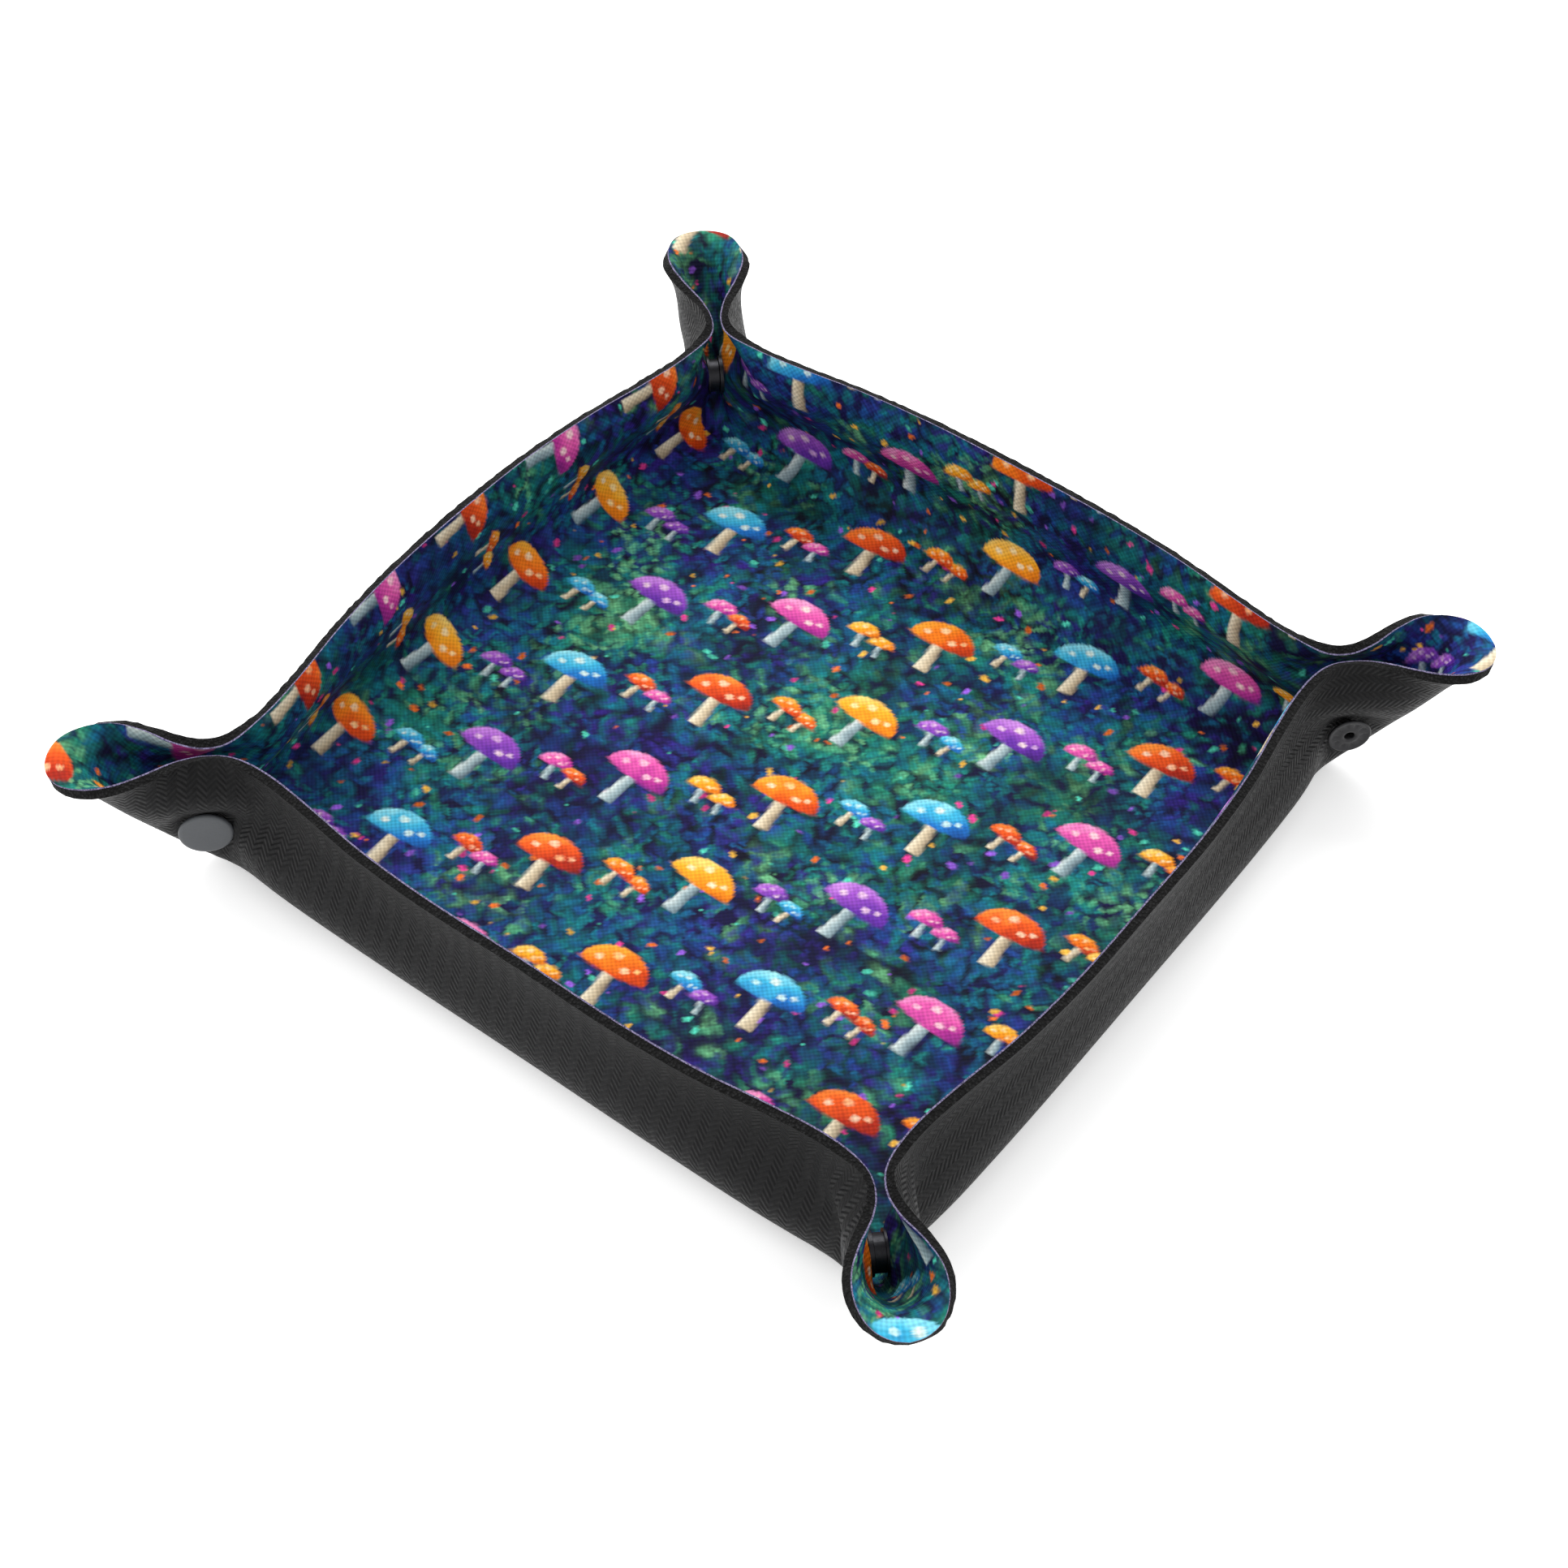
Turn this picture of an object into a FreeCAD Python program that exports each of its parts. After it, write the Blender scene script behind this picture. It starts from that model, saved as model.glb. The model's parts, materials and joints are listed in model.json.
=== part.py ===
"""Folding dice tray: a square mat of rubber-backed cloth whose four corners are pinched into ears by
snap fasteners, so that its four sides stand up as walls.

The mat is cut into the panels between its creases. Each panel is drawn flat, with its underside on
z = 0 and its printed face on z = mat_thick, and is then folded up about its creases, so the sum of
the panels is the real flat square. The creases that close the printed side have their axis on the
printed face, and the creases that open it have theirs on the underside. The panels therefore meet
edge to edge when the mat lies flat and never cut each other on the way up.

The frame is +Z up, with the origin under the middle of the floor. X and Y run along the sides.
"""
import FreeCAD, Part
import math
import os
import Sketcher

Vector = FreeCAD.Vector
Placement = FreeCAD.Placement
Rotation = FreeCAD.Rotation

# Driving dimensions, in millimetres and degrees.
SIZES = {
    "half_sheet": 130.0,       # half the side of the flat mat
    "floor_half": 93.0,        # middle of the floor to the crease of a wall
    "mat_thick": 2.4,          # cloth and rubber together
    "corner_cut": 7.0,         # how much of each side the rounded tip of the mat takes away
    "ear_back": 3.8,           # crease of an ear, back from the corner of the floor
    "flare_start": 7.6,        # crease where an ear starts to open, past the corner of the floor
    "flare_end": 20.0,         # the same crease's partner at the rim, where the ear closes again
    "crease_gap": 0.1,         # each panel stops this short of its crease
    "ridge_gap": 0.3,          # and this short of the line where the two halves of an ear meet
    "apex_trim": 3.0,          # the panels that meet at a floor corner are cut back this far
    "foot_trim": 4.0,          # and the narrow feet of the flare and tip panels this far
    "wall_angle": 90.0,        # fold of a wall, up from flat
    "ear_angle": 45.0,         # fold of an ear, from its wall to the diagonal of the tray
    "flare_angle": 30.0,       # fold that opens the ear
    "tip_angle": 65.0,         # fold that closes its tip
    "snap_up": 13.2,           # snap centre above the crease of the floor
    "snap_out": 2.4,           # snap centre past the crease of the ear
    "seat_radius": 7.0,        # flat seat that the snap clamps
    "notch_radius": 8.2,       # what the wall leaves free round that seat
    "hole_radius": 1.6,        # hole punched through the mat for a snap's post
    "post_radius": 1.5,
    "cap_radius": 6.25,
    "cap_thick": 1.1,
    "cap_edge": 0.5,
    "clinch_radius": 2.2,
    "clinch_thick": 0.4,
    "socket_flange": 5.0,
    "socket_radius": 4.2,
    "socket_floor": 0.5,
    "socket_height": 2.9,
    "socket_bore": 2.95,
    "socket_mouth": 2.6,
    "mouth_lip": 0.3,
    "spring_radius": 2.6,
    "spring_wire": 0.25,
    "spring_height": 2.25,
    "stud_flange": 4.9,
    "stud_flange_thick": 0.9,
    "stud_neck": 1.85,
    "stud_head": 2.15,
    "stud_height": 2.9,
    "stud_bore": 1.55,
    "stud_roof": 0.4,          # metal left over the eyelet's tube
    "stud_taper": 0.2,         # length of the slope under the stud's head
    "stud_crown": 0.4,         # height of the slope that leads the head in
    "eyelet_flange": 5.2,
    "eyelet_thick": 0.7,
    "eyelet_bore": 1.15,
    "eyelet_reach": 1.4,
    "eyelet_edge": 0.3,
}

WALLS = ("right", "back", "left", "front")
# Each wall carries half an ear at either end: the corner at its left and at its right, seen from outside.
CORNERS = {
    "right": ("front_right", "back_right"),
    "back": ("back_right", "back_left"),
    "left": ("back_left", "front_left"),
    "front": ("front_left", "front_right"),
}


class Length:
    """A number together with the spreadsheet formula that gives it."""

    def __init__(self, value, text):
        self.value = value
        self.text = text

    def __add__(self, other):
        other = as_length(other)
        return Length(self.value + other.value, f"({self.text} + {other.text})")

    def __sub__(self, other):
        other = as_length(other)
        return Length(self.value - other.value, f"({self.text} - {other.text})")

    def __mul__(self, factor):
        return Length(self.value * factor, f"({self.text} * {factor})")


def as_length(number):
    return number if isinstance(number, Length) else Length(number, f"{number}")


def make_sheet(doc):
    """The spreadsheet that holds the driving dimensions, and the same dimensions as lengths."""
    sheet = doc.addObject("Spreadsheet::Sheet", "Sizes")
    lengths = {}
    for row, (alias, number) in enumerate(SIZES.items(), start=1):
        sheet.set(f"A{row}", alias)
        sheet.set(f"B{row}", str(number))
        sheet.setAlias(f"B{row}", alias)
        lengths[alias] = Length(number, f"Sizes.{alias}")
    doc.recompute()
    return lengths


doc = FreeCAD.newDocument("dice_tray")
size = make_sheet(doc)
ZERO = Length(0.0, "0")
parts = []


# ---- sketches and features -------------------------------------------------------------------------

def new_body(label):
    body = doc.addObject("PartDesign::Body", label)
    body.Label = label
    parts.append(body)
    return body


def new_sketch(body, name, role):
    sketch = body.newObject("Sketcher::SketchObject", name)
    planes = [feature for feature in body.Origin.OriginFeatures if feature.Role == role]
    sketch.AttachmentSupport = (planes[0], [""])
    sketch.MapMode = "FlatFace"
    return sketch


def pin(sketch, kind, geometry, point, length):
    """Hold one coordinate of a point of the sketch at a length from the spreadsheet."""
    from_origin = Sketcher.Constraint(kind, -1, 1, geometry, point, length.value)
    index = sketch.addConstraint(from_origin)
    sketch.setExpression(f"Constraints[{index}]", length.text)


def draw_outline(sketch, corners):
    """A closed outline of straight lines, with every corner pinned to the spreadsheet."""
    count = len(corners)
    for index, (across, up) in enumerate(corners):
        next_across, next_up = corners[(index + 1) % count]
        start = Vector(across.value, up.value, 0)
        end = Vector(next_across.value, next_up.value, 0)
        sketch.addGeometry(Part.LineSegment(start, end), False)
    for index in range(count):
        sketch.addConstraint(Sketcher.Constraint("Coincident", index, 2, (index + 1) % count, 1))
    for index, (across, up) in enumerate(corners):
        for kind, length in (("DistanceX", across), ("DistanceY", up)):
            if length is ZERO:
                sketch.addConstraint(Sketcher.Constraint(kind, -1, 1, index, 1, 0.0))
            else:
                pin(sketch, kind, index, 1, length)


def draw_circle(sketch, across, up, radius):
    circle = Part.Circle(Vector(across.value, up.value, 0), Vector(0, 0, 1), radius.value)
    index = sketch.addGeometry(circle, False)
    pin(sketch, "DistanceX", index, 3, across)
    pin(sketch, "DistanceY", index, 3, up)
    bound = sketch.addConstraint(Sketcher.Constraint("Radius", index, radius.value))
    sketch.setExpression(f"Constraints[{bound}]", radius.text)


def pad(body, sketch):
    """Raise a sketch on the underside of the mat to the mat's thickness."""
    feature = body.newObject("PartDesign::Pad", "pad")
    feature.Profile = (sketch, [""])
    feature.setExpression("Length", size["mat_thick"].text)
    return feature


def punch(body, sketch):
    """Cut a sketch on the underside of the mat right through it."""
    feature = body.newObject("PartDesign::Pocket", "punch")
    feature.Profile = (sketch, [""])
    feature.Type = "ThroughAll"
    feature.Midplane = True
    return feature


def turned(label, outline):
    """A turned or pressed round piece: its half section, across by up, revolved about Z."""
    body = new_body(label)
    sketch = new_sketch(body, "section", "XZ_Plane")
    draw_outline(sketch, outline)
    feature = body.newObject("PartDesign::Revolution", "revolve")
    feature.Profile = (sketch, [""])
    feature.ReferenceAxis = (sketch, ["V_Axis"])
    feature.Angle = 360.0
    return body


# ---- flat outlines of the mat panels ---------------------------------------------------------------

HALF = size["half_sheet"]
FLOOR = size["floor_half"]
GAP = size["crease_gap"]
RIDGE = size["ridge_gap"] * math.sqrt(2)
EAR_LINE = FLOOR - size["ear_back"]
FLARE_LINE = FLOOR + size["flare_start"]
FLARE_RIM = FLOOR + size["flare_end"]
SNAP_X = FLOOR + size["snap_up"]
SNAP_Y = EAR_LINE + size["snap_out"]
# The crease between flare and tip runs from the flare line's foot on the diagonal to the rim.
SLANT = ((SIZES["flare_end"] - SIZES["flare_start"])
         / (SIZES["half_sheet"] - SIZES["floor_half"] - SIZES["flare_start"]))


def floor_panel():
    """The square floor. Its sketch starts at a corner, and the placement centres it."""
    body = new_body("floor_panel")
    sketch = new_sketch(body, "outline", "XY_Plane")
    side = (FLOOR - GAP) * 2
    draw_outline(sketch, [(ZERO, ZERO), (side, ZERO), (side, side), (ZERO, side)])
    pad(body, sketch)
    inset = -(SIZES["floor_half"] - SIZES["crease_gap"])
    body.Placement = Placement(Vector(inset, inset, 0), Rotation())
    return body


def wall_panel(label):
    """A wall, from the floor's crease to the rim. Its sketch's Y starts at the floor's corner."""
    body = new_body(label)
    sketch = new_sketch(body, "outline", "XY_Plane")
    low = FLOOR - EAR_LINE + GAP
    high = FLOOR + EAR_LINE - GAP
    draw_outline(sketch, [(FLOOR, low), (HALF, low), (HALF, high), (FLOOR, high)])
    pad(body, sketch)
    notches = new_sketch(body, "snap_seat_notches", "XY_Plane")
    draw_circle(notches, SNAP_X, FLOOR - SNAP_Y, size["notch_radius"])
    draw_circle(notches, SNAP_X, FLOOR + SNAP_Y, size["notch_radius"])
    punch(body, notches)
    return body


def snap_panel(label):
    """The ear's first panel, flat against its partner, with the round seat and hole of the snap."""
    body = new_body(label)
    sketch = new_sketch(body, "outline", "XY_Plane")
    near = EAR_LINE + GAP
    far = FLARE_LINE - GAP
    foot = FLOOR + size["apex_trim"]
    draw_outline(sketch, [(FLOOR + GAP * 3, near), (HALF, near), (HALF, far),
                          (FLARE_LINE + RIDGE, far), (foot + RIDGE, foot)])
    pad(body, sketch)
    seat = new_sketch(body, "snap_seat", "XY_Plane")
    draw_circle(seat, SNAP_X, SNAP_Y, size["seat_radius"])
    pad(body, seat)
    hole = new_sketch(body, "snap_hole", "XY_Plane")
    draw_circle(hole, SNAP_X, SNAP_Y, size["hole_radius"])
    punch(body, hole)
    return body


def flare_panel(label):
    """The panel that opens the ear, between the flare crease and the tip crease."""
    body = new_body(label)
    sketch = new_sketch(body, "outline", "XY_Plane")
    trim = size["foot_trim"]
    foot = FLARE_LINE + trim + RIDGE
    near = FLARE_LINE + GAP
    draw_outline(sketch, [(foot, near), (HALF, near), (HALF, FLARE_RIM - GAP),
                          (foot, FLARE_LINE + trim * SLANT - GAP)])
    pad(body, sketch)
    return body


def tip_panel(label):
    """Half of the ear's tip, from the tip crease to the ridge on the mat's diagonal."""
    body = new_body(label)
    sketch = new_sketch(body, "outline", "XY_Plane")
    trim = size["foot_trim"]
    foot = FLARE_LINE + trim
    cut = size["corner_cut"]
    chamfer = cut * 0.5
    draw_outline(sketch, [(foot + RIDGE, FLARE_LINE + trim * SLANT + GAP),
                          (HALF, FLARE_RIM + GAP),
                          (HALF, HALF - cut - RIDGE),
                          (HALF - chamfer, HALF - chamfer - RIDGE),
                          (foot + RIDGE, foot)])
    pad(body, sketch)
    return body


# ---- snap fasteners --------------------------------------------------------------------------------
# Each is turned about the snap's axis, with Z pointing the way the printed face looks.

def snap_cap(label):
    """Cap: a flat button outside, with a post that is clinched over in the socket's floor."""
    edge = size["cap_edge"]
    base = size["cap_thick"]
    floor_top = base + size["mat_thick"] + size["socket_floor"]
    top = floor_top + size["clinch_thick"]
    return turned(label, [(ZERO, ZERO), (size["cap_radius"] - edge, ZERO), (size["cap_radius"], edge),
                          (size["cap_radius"], base), (size["post_radius"], base),
                          (size["post_radius"], floor_top), (size["clinch_radius"], floor_top),
                          (size["clinch_radius"], top), (ZERO, top)])


def snap_socket(label):
    """Socket: a pressed cup with a flange on the cloth and a lip that keeps the spring in."""
    height = size["socket_height"]
    floor_top = size["socket_floor"]
    return turned(label, [(size["hole_radius"], ZERO), (size["socket_flange"], ZERO),
                          (size["socket_flange"], floor_top), (size["socket_radius"], floor_top),
                          (size["socket_radius"], height), (size["socket_mouth"], height),
                          (size["socket_mouth"], height - size["mouth_lip"]),
                          (size["socket_bore"], height - size["mouth_lip"]),
                          (size["socket_bore"], floor_top), (size["hole_radius"], floor_top)])


def snap_spring(label):
    """Ring spring in the socket, which grips the neck of the stud."""
    ring = doc.addObject("Part::Torus", label)
    ring.Label = label
    ring.setExpression("Radius1", size["spring_radius"].text)
    ring.setExpression("Radius2", size["spring_wire"].text)
    parts.append(ring)
    return ring


def snap_stud(label):
    """Stud: a pressed flange with a hollow nipple that snaps into the socket."""
    height = size["stud_height"]
    shoulder = height - size["stud_flange_thick"]
    roof = size["eyelet_reach"] + size["stud_roof"]
    return turned(label, [(size["stud_bore"], ZERO), (size["stud_flange"], ZERO),
                          (size["stud_flange"], size["stud_flange_thick"]),
                          (size["stud_neck"], size["stud_flange_thick"]),
                          (size["stud_neck"], shoulder - size["stud_taper"]),
                          (size["stud_head"], shoulder),
                          (size["stud_head"], height - size["stud_crown"]),
                          (size["stud_neck"], height),
                          (ZERO, height), (ZERO, roof), (size["stud_bore"], roof)])


def snap_eyelet(label):
    """Eyelet: a ring flange on the rubber, with a tube through the mat and into the stud."""
    top = size["eyelet_thick"] + size["mat_thick"] + size["eyelet_reach"]
    edge = size["eyelet_edge"]
    return turned(label, [(size["eyelet_bore"], ZERO), (size["eyelet_flange"] - edge, ZERO),
                          (size["eyelet_flange"], edge),
                          (size["eyelet_flange"], size["eyelet_thick"]),
                          (size["post_radius"], size["eyelet_thick"]),
                          (size["post_radius"], top), (size["eyelet_bore"], top)])


# ---- folding up ------------------------------------------------------------------------------------

def fold(point, direction, degrees):
    """Turn about a crease that passes through a point of the flat mat."""
    return Placement(Vector(0, 0, 0), Rotation(Vector(*direction), degrees), Vector(*point))


def ear_folds(end):
    """Placements of wall, snap panel, flare panel and tip panel. The end is -1 for left, 1 for right."""
    floor = SIZES["floor_half"]
    flare_line = floor + SIZES["flare_start"]
    wall = fold((floor, 0, SIZES["mat_thick"]), (0, -1, 0), SIZES["wall_angle"])
    ear_line = floor - SIZES["ear_back"]
    snap = wall * fold((0, end * ear_line, 0), (1, 0, 0), -end * SIZES["ear_angle"])
    flare = snap * fold((0, end * flare_line, 0), (1, 0, 0), -end * SIZES["flare_angle"])
    tip = flare * fold((flare_line, end * flare_line, SIZES["mat_thick"]), (1, end * SLANT, 0),
                       end * SIZES["tip_angle"])
    return wall, snap, flare, tip


def turn_over(end):
    """The left half of an ear is the right half turned over, which leaves the printed side up."""
    if end > 0:
        return Placement()
    return Placement(Vector(0, 0, SIZES["mat_thick"]), Rotation(Vector(1, 0, 0), 180))


def on_snap_axis(end, height):
    floor = SIZES["floor_half"]
    across = floor + SIZES["snap_up"]
    along = floor - SIZES["ear_back"] + SIZES["snap_out"]
    return Placement(Vector(across, end * along, height), Rotation())


def build_wall(index, wall_name):
    about_z = Placement(Vector(0, 0, 0), Rotation(Vector(0, 0, 1), 90.0 * index))
    wall = wall_panel(f"{wall_name}_wall_panel")
    wall_fold = ear_folds(1)[0]
    wall.Placement = about_z * wall_fold * Placement(Vector(0, -SIZES["floor_half"], 0), Rotation())
    for end, corner in zip((-1, 1), CORNERS[wall_name]):
        name = f"{corner}_ear_{wall_name}_wall"
        folds = [about_z * place for place in ear_folds(end)]
        makers = (snap_panel, flare_panel, tip_panel)
        for maker, place, word in zip(makers, folds[1:], ("snap_panel", "flare_panel", "tip_panel")):
            maker(f"{name}_{word}").Placement = place * turn_over(end)
        under = folds[1]
        printed = under * on_snap_axis(end, SIZES["mat_thick"])
        if end < 0:
            snap_cap(f"{corner}_snap_cap").Placement = under * on_snap_axis(end, -SIZES["cap_thick"])
            snap_socket(f"{corner}_snap_socket").Placement = printed
            lift = Placement(Vector(0, 0, SIZES["spring_height"]), Rotation())
            snap_spring(f"{corner}_snap_spring").Placement = printed * lift
        else:
            below = on_snap_axis(end, -SIZES["eyelet_thick"])
            snap_eyelet(f"{corner}_snap_eyelet").Placement = under * below
            snap_stud(f"{corner}_snap_stud").Placement = printed


floor_panel()
for wall_index, wall_word in enumerate(WALLS):
    build_wall(wall_index, wall_word)
doc.recompute()


# ---- checks and files ------------------------------------------------------------------------------

for item in doc.Objects:
    if "Invalid" in item.State or "Error" in item.State:
        raise RuntimeError(f"{item.Label} did not compute: {item.State}")
for part in parts:
    if part.Shape.isNull() or not part.Shape.isValid() or len(part.Shape.Solids) != 1:
        raise RuntimeError(f"{part.Label} is not one valid solid")

os.makedirs("parts", exist_ok=True)
for part in parts:
    part.Shape.exportStep(os.path.join("parts", f"{part.Label}.step"))
print(f"{len(parts)} parts")
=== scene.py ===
"""Folding dice tray: a square mat of printed cloth on rubber, pinched into four ears by snap fasteners."""
import bpy
import bmesh
import json
import math
import numpy as np
from mathutils import Matrix, Vector


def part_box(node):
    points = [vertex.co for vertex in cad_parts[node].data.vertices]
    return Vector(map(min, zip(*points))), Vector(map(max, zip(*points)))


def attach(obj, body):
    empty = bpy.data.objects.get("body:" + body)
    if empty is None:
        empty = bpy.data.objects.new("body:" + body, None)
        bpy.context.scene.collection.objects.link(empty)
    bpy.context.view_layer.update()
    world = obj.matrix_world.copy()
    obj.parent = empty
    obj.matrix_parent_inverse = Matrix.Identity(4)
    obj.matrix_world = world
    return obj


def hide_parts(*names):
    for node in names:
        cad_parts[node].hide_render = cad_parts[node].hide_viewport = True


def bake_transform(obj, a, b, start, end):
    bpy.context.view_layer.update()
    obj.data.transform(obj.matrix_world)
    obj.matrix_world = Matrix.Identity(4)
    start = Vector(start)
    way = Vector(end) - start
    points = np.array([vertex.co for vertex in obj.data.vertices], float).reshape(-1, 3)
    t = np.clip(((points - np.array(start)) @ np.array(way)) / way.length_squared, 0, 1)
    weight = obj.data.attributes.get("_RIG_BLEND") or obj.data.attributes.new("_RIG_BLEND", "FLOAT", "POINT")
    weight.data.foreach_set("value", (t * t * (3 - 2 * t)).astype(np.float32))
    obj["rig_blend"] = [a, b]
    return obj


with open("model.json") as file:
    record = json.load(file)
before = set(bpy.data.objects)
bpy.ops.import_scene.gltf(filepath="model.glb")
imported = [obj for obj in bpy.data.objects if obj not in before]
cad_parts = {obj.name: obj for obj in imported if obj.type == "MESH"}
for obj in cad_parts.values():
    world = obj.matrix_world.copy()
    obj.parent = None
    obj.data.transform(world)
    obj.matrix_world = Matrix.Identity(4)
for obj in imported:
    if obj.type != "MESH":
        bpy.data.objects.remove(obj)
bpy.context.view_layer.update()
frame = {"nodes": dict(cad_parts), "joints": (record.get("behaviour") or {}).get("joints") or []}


# ---- the mat's shape -------------------------------------------------------------------------------
# One flat square of rubber-backed cloth. Nothing is sewn or moulded: the snaps pinch its corners, and
# its own stiffness then stands the walls up and rounds the ears. Lengths in this section are in mm.

HALF_SIDE = 130.0
FLOOR_HALF = 93.0              # middle of the floor to the line where a wall folds up
CORNER_ROUND = 13.0
CELL = 2.5                     # spacing of the net that is relaxed
CELLS = round(HALF_SIDE / CELL)
MAT_THICK = 2.4
MID = MAT_THICK / 2            # height of the mat's middle layer above the table
FLAT_FLOOR = 80.0              # the floor lies dead flat this far out
SNAP_ACROSS, SNAP_ALONG = 106.2, 91.6    # hole of a snap on the flat mat
SEAT = 6.2                     # the snap clamps the mat flat over this radius

# Middle layer of the rim, along a wall from its middle to the tip of the ear: along, outward, up.
RIM = np.array([
    (0, 96.4, 38.0), (24, 96.2, 37.6), (45, 94.6, 37.2), (63, 91.8, 37.0), (76, 90.3, 36.8),
    (86.5, 91.0, 36.6), (91.5, 94.3, 36.6), (94.4, 99.8, 37.0), (96.3, 106.6, 37.4),
    (99.4, 113.6, 37.4), (104.6, 118.4, 36.5), (111.0, 120.0, 35.6), (117.1, 117.1, 35.0)])
RIM_NECK = 6                   # the point of the rim that is straight above a snap


def rim_line():
    """A smooth line through the points of the rim, which leaves both planes of symmetry square."""
    before = RIM[1] * (-1, 1, 1)
    after = RIM[-2][[1, 0, 2]]
    knots = np.vstack([before, RIM, after])
    step = np.linspace(0, 1, 40, endpoint=False)[:, None]
    runs = []
    for a, b, c, d in zip(knots, knots[1:], knots[2:], knots[3:]):
        runs.append(0.5 * (2 * b + (c - a) * step + (2 * a - 5 * b + 4 * c - d) * step ** 2
                           + (3 * b - a - 3 * c + d) * step ** 3))
    return np.vstack(runs + [RIM[-1:]])


def lengths_along(line):
    return np.r_[0, np.cumsum(np.linalg.norm(np.diff(line, axis=0), axis=1))]


def flat_net():
    """Flat places of a quarter of the net, with the square corner eased into a round one."""
    steps = np.arange(CELLS + 1) * CELL
    across, along = np.meshgrid(steps, steps, indexing="ij")
    straight = HALF_SIDE - CORNER_ROUND
    s = np.clip((across - straight) / CORNER_ROUND, 0, 1)
    t = np.clip((along - straight) / CORNER_ROUND, 0, 1)
    corner = (s > 0) & (t > 0)
    across = np.where(corner, straight + CORNER_ROUND * s * np.sqrt(1 - t * t / 2), across)
    along = np.where(corner, straight + CORNER_ROUND * t * np.sqrt(1 - s * s / 2), along)
    return np.stack([across, along], -1)


def snap_seat_places():
    """Middle of a corner's seat on the mat's middle layer, from where its snap is in the frame."""
    low, high = (np.array(corner) * 1000 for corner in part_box("back_right_snap_eyelet"))
    middle = (low + high) / 2
    radial = (middle[0] + middle[1]) / math.sqrt(2)
    return radial, middle[2]


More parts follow.
